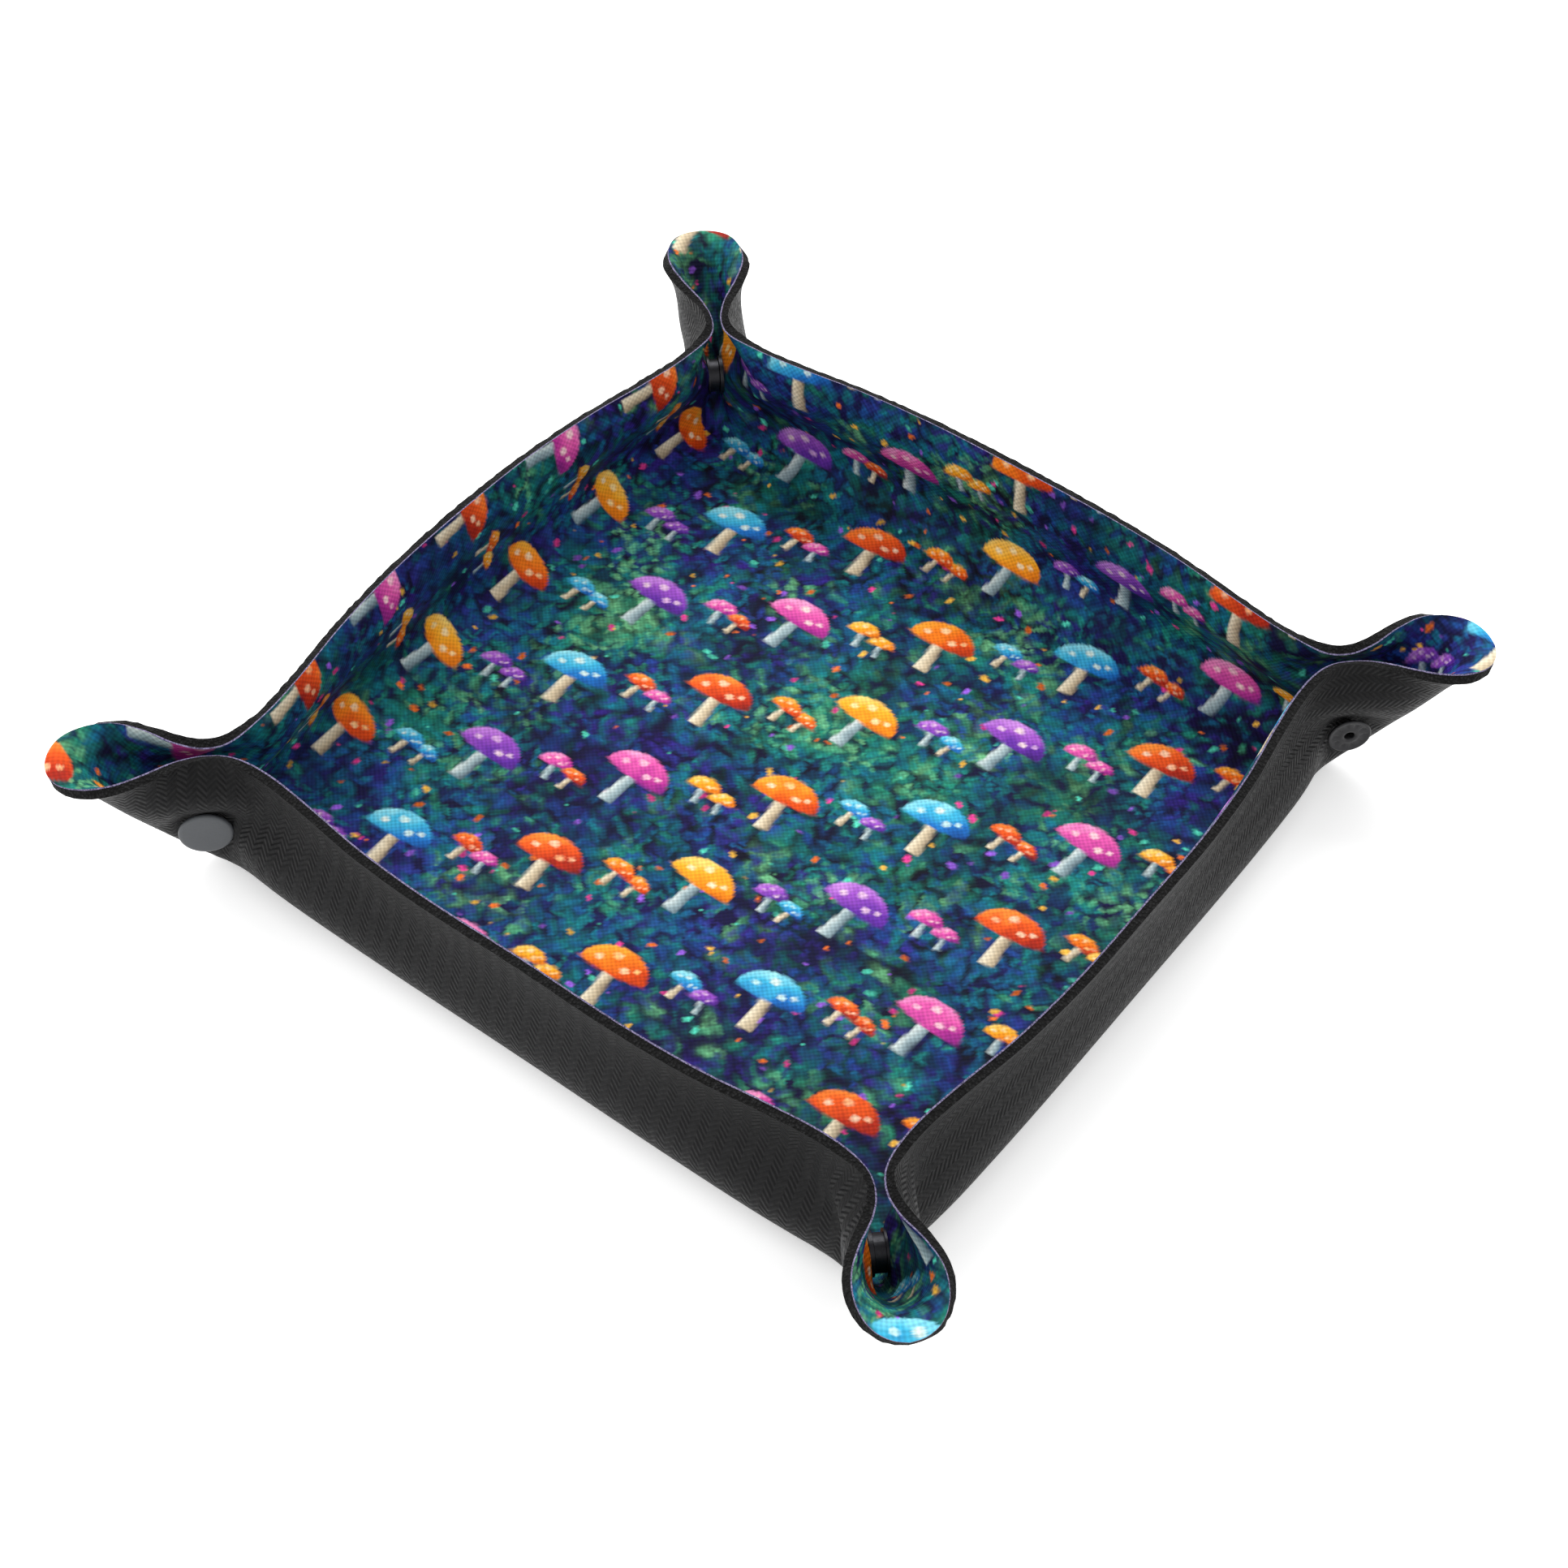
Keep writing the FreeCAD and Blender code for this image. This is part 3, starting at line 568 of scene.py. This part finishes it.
def sheet_patch(name, box, quarter, cuts, notch, fine, layer, materials, weigh):
    """Part of a layer of the mat: a fine grid over a box of the flat mat, cut along lines, bent up
    with the mat and given the layer's thickness. Box, cuts and notch are those of the right wall."""
    (x0, y0), (x1, y1) = box
    grid = bmesh.new()
    bmesh.ops.create_grid(grid, x_segments=round((x1 - x0) / fine), y_segments=round((y1 - y0) / fine),
                          size=0.5)
    bmesh.ops.scale(grid, verts=grid.verts, vec=(x1 - x0, y1 - y0, 1))
    bmesh.ops.translate(grid, verts=grid.verts, vec=((x0 + x1) / 2, (y0 + y1) / 2, 0))
    for point, outward in cuts:
        bmesh.ops.bisect_plane(grid, geom=grid.verts[:] + grid.edges[:] + grid.faces[:], dist=1e-4,
                               plane_co=(*point, 0), plane_no=(*outward, 0), clear_outer=True)
    if notch:
        spare = [f for f in grid.faces if notch(f.calc_center_median())]
        bmesh.ops.delete(grid, geom=spare, context="FACES")
    count = len(grid.verts)
    made = bmesh.ops.extrude_face_region(grid, geom=grid.faces[:], use_keep_orig=True)["geom"]
    raised = [v for v in made if isinstance(v, bmesh.types.BMVert)]
    bmesh.ops.translate(grid, verts=raised, vec=(0, 0, 1))
    bmesh.ops.recalc_face_normals(grid, faces=grid.faces)
    mesh = bpy.data.meshes.new(name)
    grid.to_mesh(mesh)
    grid.free()

    drawn = np.zeros(len(mesh.vertices) * 3)
    mesh.vertices.foreach_get("co", drawn)
    drawn = drawn.reshape(-1, 3)
    upper = drawn[:, 2] > 0.5
    own = drawn[:, :2]
    turned_own = turned_spots(own, quarter)
    if layer is RUBBER_LAYER:
        on_edge = np.abs(own[:, 0]) > HALF_SIDE - 0.01
        ragged = (clouds(turned_own + np.where(upper, 40, 0)[:, None], 1.1, 3) - 0.6) * 0.5
        turned_own = turned_own * (1 + np.where(on_edge, ragged / HALF_SIDE, 0))[:, None]
    place, normal, cloth = lifted(turned_own)
    middle = place
    place = place + normal * np.where(upper, layer[1], layer[0])[:, None]

    corners = np.zeros(len(mesh.loops), np.int32)
    mesh.loops.foreach_get("vertex_index", corners)
    sizes = np.zeros(len(mesh.polygons), np.int32)
    mesh.polygons.foreach_get("loop_total", sizes)
    of_face = np.repeat(np.arange(len(sizes)), sizes)
    share = np.bincount(of_face, upper[corners]) / sizes
    slots = np.where(share == 1, 0, np.where(share == 0, 1, 2)).astype(np.int32)
    mesh.polygons.foreach_set("material_index", slots)
    mesh.polygons.foreach_set("use_smooth", np.ones(len(sizes), bool))
    mesh.vertices.foreach_set("co", (place / 1000).astype(np.float32).ravel())
    for material in materials:
        mesh.materials.append(material)

    layer_uv = mesh.uv_layers.new(name="flat")
    layer_uv.data.foreach_set("uv", ((cloth[corners] / HALF_SIDE + 1) / 2).astype(np.float32).ravel())
    if layer is CLOTH_LAYER:
        shade = mesh.color_attributes.new("print", "FLOAT_COLOR", "POINT")
        dyed = np.c_[painted(cloth), np.ones(len(cloth))].astype(np.float32)
        shade.data.foreach_set("color", dyed.ravel())
    mesh.update()

    # The faces of neighbouring patches share one smooth normal, and the cut edge stays square.
    faces_out = np.zeros(len(sizes) * 3)
    mesh.polygons.foreach_get("normal", faces_out)
    square = faces_out.reshape(-1, 3)[of_face]
    slot_of = slots[of_face][:, None]
    shown = np.where(slot_of == 0, normal[corners], np.where(slot_of == 1, -normal[corners], square))
    mesh.normals_split_custom_set(shown.tolist())

    piece = bpy.data.objects.new(name, mesh)
    bpy.context.collection.objects.link(piece)
    if weigh:
        body_from, body_to, share_of = weigh
        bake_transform(piece, body_from, body_to, (0, 0, 0), (0.1, 0, 0))
        weight = np.clip(share_of(own, middle), -0.3, 1.7).astype(np.float32)
        mesh.attributes["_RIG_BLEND"].data.foreach_set("value", weight)
    return piece


def eased(values, start, end):
    t = np.clip((values - start) / (end - start), 0, 1)
    return t * t * (3 - 2 * t)


RIGHT_UP, RIGHT_DOWN = ((0, 0), (-1, 1)), ((0, 0), (-1, -1))
ROUNDED_OFF = 18               # square mm that the round corner takes off each tip patch
TIP_CLIMB = 6.5                # the tip patch's border climbs this far over 25 mm of the wall's height
TIP_SLANT = 12.4 / 29.4        # how far the tip's crease runs along the wall for each mm it climbs


JOINTS = {joint["name"]: joint for joint in frame["joints"]}


def opened(name):
    """Turn of a joint, in degrees, when the mat is undone. Joints that follow another have 0.5 to spare."""
    return JOINTS[name]["range_deg"][0] + (0 if name == "front_wall_fold" else 0.5)


def turn_about(name, degrees):
    """The motion of a joint's child, at rest in the frame, for a turn of that joint alone."""
    joint = JOINTS[name]
    pivot = Matrix.Translation(Vector(joint["pos_m"]))
    return pivot @ Matrix.Rotation(math.radians(degrees), 4, Vector(joint["axis"])) @ pivot.inverted()


CURL = math.radians(90 + opened("front_wall_fold"))     # what a wall keeps of its fold when undone


def wall_share(quarter):
    """How much of the wall's fold each point takes. Above the bend it is what lays the point flat."""
    out = turned_spots(np.array([[1.0, 0.0]]), quarter)[0]

    def share(own, place):
        beyond = place[:, 0] * out[0] + place[:, 1] * out[1] - FLOOR_HALF
        height = place[:, 2] - MAT_THICK
        radius = np.hypot(beyond, height)
        needed = np.arctan2(height, beyond) + np.arcsin(np.clip(MID / radius, 0, 1)) - CURL
        laid = np.clip(needed / (math.pi / 2 - CURL), 0.7, 1.05)
        calm = 1 - eased(np.abs(own[:, 1]), 55, EAR_STARTS - 2)
        return eased(own[:, 0], 84, SNAP_FOOT) * (1 + (laid - 1) * calm)
    return share


def laid_flat(share, wall, chain, quarter, border):
    """Tunes a patch's share of its fold, away from its borders, so that the mat opens out flat.
    Chain is the joints from the wall to the patch's second body, and border is its free share."""
    carried = turn_about(f"{wall}_wall_fold", opened(f"{wall}_wall_fold"))
    for name in chain[:-1]:
        carried = carried @ turn_about(name, opened(name))

    def tuned(own, place):
        plain = share(own, place)
        rise = MID + (own[:, 0] - FLOOR_HALF) * math.sin(CURL)
        goal = np.c_[turned_spots(own, quarter), rise] / 1000
        points = np.c_[place / 1000, np.ones(len(place))]
        best, chosen = np.full(len(own), 9.0), plain.copy()
        for trial in np.linspace(-0.3, 1.7, 41):
            motion = np.array(carried @ turn_about(chain[-1], trial * opened(chain[-1])))
            moved = points @ motion.T
            apart = moved[:, :3] - goal
            across = turned_spots(moved[:, :2], -quarter % 4)
            crossed = np.maximum(np.abs(across[:, 1]) - across[:, 0], 0)
            miss = np.hypot(apart[:, 2] * 1.5, np.hypot(apart[:, 0], apart[:, 1]))
            miss += 0.0012 * np.abs(trial - plain) + 4 * crossed
            better = miss < best
            best = np.where(better, miss, best)
            chosen = np.where(better, trial, chosen)
        return plain + (chosen - plain) * border(own)
    return tuned


def snap_share(own, place):
    return eased(np.abs(own[:, 1]), EAR_STARTS + 1, 93)


def snap_border(own):
    return eased(np.abs(own[:, 1]), EAR_STARTS, 87) * eased(-np.abs(own[:, 1]), -SNAP_FOOT, -94) * 0.7


def past_flare(own):
    """How far past the border between flare and tip patch, in mm."""
    along = np.abs(own[:, 1])
    slanted = (along - TIP_STARTS) * TIP_LONG - (own[:, 0] - TIP_STARTS) * TIP_CLIMB
    return slanted / math.hypot(TIP_LONG, TIP_CLIMB)


def flare_share(own, place):
    return eased(np.abs(own[:, 1]), SNAP_FOOT + 2, TIP_STARTS)


def flare_border(own):
    return eased(np.abs(own[:, 1]), SNAP_FOOT + 2, SNAP_FOOT + 5) * eased(-past_flare(own), 0, 2)


def tip_share(own, place):
    crease = 100.6 + (own[:, 0] - 100.6) * TIP_SLANT
    return eased(np.abs(own[:, 1]) - crease, -2, 5) * eased(past_flare(own), 0, 2.5)


def tip_border(own):
    return eased(past_flare(own), 0, 4)


def mat_layer(word, fine, layer, materials):
    """One layer of the whole mat, in the patches that move together, named after its word."""

    def keep(stands_for=()):
        if stands_for:
            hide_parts(*stands_for)

    whole = (("", -FLAT_FLOOR, FLAT_FLOOR),)
    halves = (("_left", -FLAT_FLOOR, 0), ("_right", 0, FLAT_FLOOR))
    for side, x0, x1 in whole if word == "rubber" else halves:
        floor = sheet_patch(f"{word}_floor{side}", ((x0, -FLAT_FLOOR), (x1, FLAT_FLOOR)), 0, (), None,
                            fine, layer, materials, None)
        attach(floor, "floor")
        keep(["floor_panel"] if word == "rubber" else ())
    for quarter, wall in enumerate(WALLS):
        box = ((FLAT_FLOOR, -SNAP_FOOT), (HALF_SIDE, SNAP_FOOT))
        piece = sheet_patch(
            f"{word}_{wall}_wall", box, quarter, (RIGHT_UP, RIGHT_DOWN),
            lambda c: c.x > SNAP_FOOT and abs(c.y) > EAR_STARTS, fine, layer, materials,
            ("floor", f"{wall}_wall", wall_share(quarter)))
        keep([f"{wall}_wall_panel"] if word == "rubber" else ())
        for end, corner in zip((-1, 1), CORNERS[wall]):
            ear = f"{corner}_ear_{wall}_wall"
            diagonal = RIGHT_UP if end > 0 else RIGHT_DOWN

            def strip(start, stop, foot):
                low, high = sorted((end * start, end * stop))
                return ((foot, low), (HALF_SIDE, high))
            under_tip = ((TIP_STARTS, end * TIP_STARTS), (-TIP_CLIMB, end * TIP_LONG))
            over_flare = ((TIP_STARTS, end * TIP_STARTS), (TIP_CLIMB, -end * TIP_LONG))
            chain = [f"{ear}_{part}_fold" for part in ("snap", "flare", "tip")]
            wedge = TIP_LONG * TIP_CLIMB / 2
            for part, before, after, area_box, cuts, share, border, area in (
                    ("snap", f"{wall}_wall", f"{ear}_snap", strip(EAR_STARTS, SNAP_FOOT, SNAP_FOOT), (),
                     snap_share, snap_border, 15 * 32.5),
                    ("flare", f"{ear}_snap", f"{ear}_flare", strip(SNAP_FOOT, 112.5, SNAP_FOOT),
                     (diagonal, under_tip), flare_share, flare_border,
                     7.5 * 32.5 - 7.5 ** 2 / 2 + wedge),
                    ("tip", f"{ear}_flare", f"{ear}_tip", strip(TIP_STARTS, HALF_SIDE, TIP_STARTS),
                     (diagonal, over_flare), tip_share, tip_border,
                     TIP_LONG ** 2 / 2 - ROUNDED_OFF - wedge)):
                links = chain[:("snap", "flare", "tip").index(part) + 1]
                weigh = laid_flat(share, wall, links, quarter, border)
                piece = sheet_patch(f"{word}_{ear}_{part}", area_box, quarter, cuts, None, fine, layer,
                                    materials, (before, after, weigh))
                (x0, y0), (x1, y1) = area_box
                keep([f"{ear}_{part}_panel"] if word == "rubber" else ())


mat_layer("cloth", CLOTH_FINE, CLOTH_LAYER, (cloth_print, cloth_edge, cloth_edge))
mat_layer("rubber", RUBBER_FINE, RUBBER_LAYER, (rubber_edge, rubber_back, rubber_edge))


# ---- snap fasteners --------------------------------------------------------------------------------
# Pressed steel ring-spring snaps, one in each ear. The cap and the eyelet are what shows outside: the
# cap is enamelled grey, the eyelet is left in dark oxide, and the socket, spring and stud are nickel drawn
# dark as painted shade.

def metal_finish(name, code, roughness, metallic, grain, bump_height):
    """A pressed metal part's finish, with the fine unevenness its surface treatment leaves."""
    material, tree, shader = new_material(name, roughness, metallic)
    place_of = node(tree, "ShaderNodeTexCoord")
    fine = node(tree, "ShaderNodeTexNoise",
                {"Vector": place_of.outputs["Object"], "Scale": grain, "Detail": 4.0})
    worn = node(tree, "ShaderNodeMapRange", {0: fine.outputs["Fac"], 1: 0.3, 2: 0.7, 3: roughness - 0.08,
                                             4: roughness + 0.1})
    tree.links.new(worn.outputs[0], shader.inputs["Roughness"])
    tone = node(tree, "ShaderNodeValToRGB", {0: fine.outputs["Fac"]})
    dark = [c * 0.8 for c in linear(code)[:3]] + [1]
    tone.color_ramp.elements[0].position, tone.color_ramp.elements[0].color = 0.3, dark
    tone.color_ramp.elements[1].position, tone.color_ramp.elements[1].color = 0.7, linear(code)
    tree.links.new(tone.outputs[0], shader.inputs["Base Color"])
    skin = node(tree, "ShaderNodeBump",
                {"Height": fine.outputs["Fac"], "Strength": 0.25, "Distance": bump_height})
    tree.links.new(skin.outputs[0], shader.inputs["Normal"])
    return material


cap_enamel = metal_finish("satin grey enamel on steel", "#4a4d51", 0.42, 0.0, 2200.0, 0.00004)
eyelet_oxide = metal_finish("black oxide on steel", "#2c2c2e", 0.38, 0.6, 1500.0, 0.00005)
# Painted shade: the nickel is drawn far darker than bright plate. It stands in for the shade of the slit
# between the ear's halves, where these parts sit.
nickel_in_painted_shade = metal_finish("dull nickel plate darkened as painted shade", "#3c3c3f", 0.42, 1.0, 1800.0, 0.00003)

# Half sections, in mm: out from the snap's axis, and up from the mat's rubber face.
CAP_SECTION = ((0, 1.06), (1.5, 1.08), (3.6, 1.1), (5.3, 1.1), (5.75, 1.04), (6.08, 0.86), (6.23, 0.6),
               (6.25, 0.35), (6.18, 0.12), (5.95, 0.0), (1.5, 0.0), (1.5, -2.9), (2.1, -2.92),
               (2.2, -3.05), (2.0, -3.3), (0, -3.3))
EYELET_SECTION = ((1.15, -3.8), (1.15, 0.2), (1.3, 0.42), (1.6, 0.56), (1.95, 0.6), (2.35, 0.5),
                  (2.6, 0.42), (3.1, 0.42), (3.7, 0.42), (4.3, 0.46), (4.6, 0.6), (4.85, 0.66),
                  (5.08, 0.56), (5.2, 0.34), (5.16, 0.1), (5.0, 0.0), (1.5, 0.0), (1.5, -3.8))
DIMPLES, DIMPLE_RING, DIMPLE_WIDE, DIMPLE_DEEP = 10, 3.45, 0.55, 0.24


def pressed(name, section, closed, node_name, material, dimpled):
    """A turned piece on the axis of a CAD snap piece, with its zero on the mat's rubber face."""
    form = bmesh.new()
    verts = [form.verts.new((r / 1000, 0, z / 1000)) for r, z in section]
    edges = [form.edges.new(pair) for pair in zip(verts, verts[1:] + verts[:1] if closed else verts[1:])]
    bmesh.ops.spin(form, geom=verts + edges, axis=(0, 0, 1), cent=(0, 0, 0), angle=2 * math.pi,
                   steps=120, use_merge=True)
    bmesh.ops.remove_doubles(form, verts=form.verts, dist=1e-6)
    bmesh.ops.recalc_face_normals(form, faces=form.faces)
    if dimpled:
        for v in form.verts:
            radius = math.hypot(v.co.x, v.co.y) * 1000
            if v.co.z > 0.0003 and 2.4 < radius < 4.5:
                around = math.atan2(v.co.y, v.co.x) * DIMPLES / (2 * math.pi)
                off = (around - round(around)) * 2 * math.pi * DIMPLE_RING / DIMPLES
                far = math.hypot(off, radius - DIMPLE_RING) / DIMPLE_WIDE
                v.co.z -= DIMPLE_DEEP / 1000 * math.exp(-far ** 4)
    low, high = (Vector(corner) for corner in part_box(node_name))
    middle = (low + high) / 2
    corner_line = Vector((math.copysign(1, middle.x), math.copysign(1, middle.y), 0)).normalized()
    outward = Vector((-corner_line.y, corner_line.x, 0))
    if outward.dot(middle) < 0:
        outward = -outward
    top, bottom = (f([z for _, z in section]) for f in (max, min))
    turn = outward.to_track_quat("Z", "Y").to_matrix().to_4x4()
    base = middle - outward * (top + bottom) / 2000
    bmesh.ops.transform(form, matrix=Matrix.Translation(base) @ turn, verts=form.verts)
    mesh = bpy.data.meshes.new(name)
    form.to_mesh(mesh)
    form.free()
    mesh.materials.append(material)
    mesh.shade_smooth()
    piece = bpy.data.objects.new(name, mesh)
    bpy.context.collection.objects.link(piece)
    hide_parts(node_name)
    return piece


for wall in WALLS:
    left_corner, right_corner = CORNERS[wall]
    cap = pressed(f"{left_corner}_cap", CAP_SECTION, False, f"{left_corner}_snap_cap", cap_enamel,
                  False)
    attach(cap, f"{left_corner}_ear_{wall}_wall_snap")
    eyelet = pressed(f"{right_corner}_eyelet", EYELET_SECTION, True, f"{right_corner}_snap_eyelet",
                     eyelet_oxide, True)
    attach(eyelet, f"{right_corner}_ear_{wall}_wall_snap")
    for inner in ("socket", "spring", "stud"):
        for hold in frame["nodes"][f"{left_corner}_snap_{inner}"].material_slots:
            hold.material = nickel_in_painted_shade


# ---- table, light and camera -----------------------------------------------------------------------
# A white paper sweep under soft light from behind and from the left, with a long lens looking down.

table_mesh = bpy.data.meshes.new("table")
table_form = bmesh.new()
bmesh.ops.create_grid(table_form, x_segments=1, y_segments=1, size=6)
table_form.to_mesh(table_mesh)
table_form.free()
table = bpy.data.objects.new("table", table_mesh)
bpy.context.collection.objects.link(table)
table_paint, tree, shader = new_material("white paper sweep", 0.9)
shader.inputs["Base Color"].default_value = linear("#ffffff")
shader.inputs["Emission Color"].default_value = linear("#ffffff")
shader.inputs["Emission Strength"].default_value = 0.35
table_mesh.materials.append(table_paint)

world = bpy.data.worlds.new("studio")
bpy.context.scene.world = world
world.use_nodes = True
background = world.node_tree.nodes["Background"]
background.inputs["Color"].default_value = (1, 1, 1, 1)
background.inputs["Strength"].default_value = 0.9


def lamp(name, place, aim, size, power):
    light = bpy.data.lights.new(name, "AREA")
    light.shape = "RECTANGLE"
    light.size, light.size_y = size
    light.energy = power
    held = bpy.data.objects.new(name, light)
    held.location = place
    held.rotation_euler = (Vector(aim) - Vector(place)).to_track_quat("-Z", "Y").to_euler()
    bpy.context.collection.objects.link(held)


lamp("large softbox behind", (-0.5, 0.9, 1.1), (0, 0, 0), (1.2, 0.8), 14)
lamp("softbox at the left", (-1.1, -0.5, 0.8), (0, 0, 0), (0.8, 0.8), 6)

AZIMUTH, ELEVATION, ROLL = (math.radians(a) for a in (34.73, 49.66, 2.97))
CAMERA_AWAY = 0.7292
CAMERA_LENS, CAMERA_SENSOR = 71.72, 36     # mm
AIM = Vector((-0.0002, -0.0001, 0.0079))
back = Vector((math.sin(AZIMUTH) * math.cos(ELEVATION), -math.cos(AZIMUTH) * math.cos(ELEVATION),
               math.sin(ELEVATION)))
level = Vector((math.cos(AZIMUTH), math.sin(AZIMUTH), 0))
upright = back.cross(level)
right = level * math.cos(ROLL) + upright * math.sin(ROLL)
top = upright * math.cos(ROLL) - level * math.sin(ROLL)
camera_data = bpy.data.cameras.new("camera")
camera_data.lens = CAMERA_LENS
camera_data.sensor_width = CAMERA_SENSOR
camera = bpy.data.objects.new("camera", camera_data)
eye = AIM + back * CAMERA_AWAY
camera.matrix_world = Matrix([(right[k], top[k], back[k], eye[k]) for k in range(3)] + [(0, 0, 0, 1)])
bpy.context.collection.objects.link(camera)
bpy.context.scene.camera = camera
bpy.context.scene.view_settings.view_transform = "Standard"
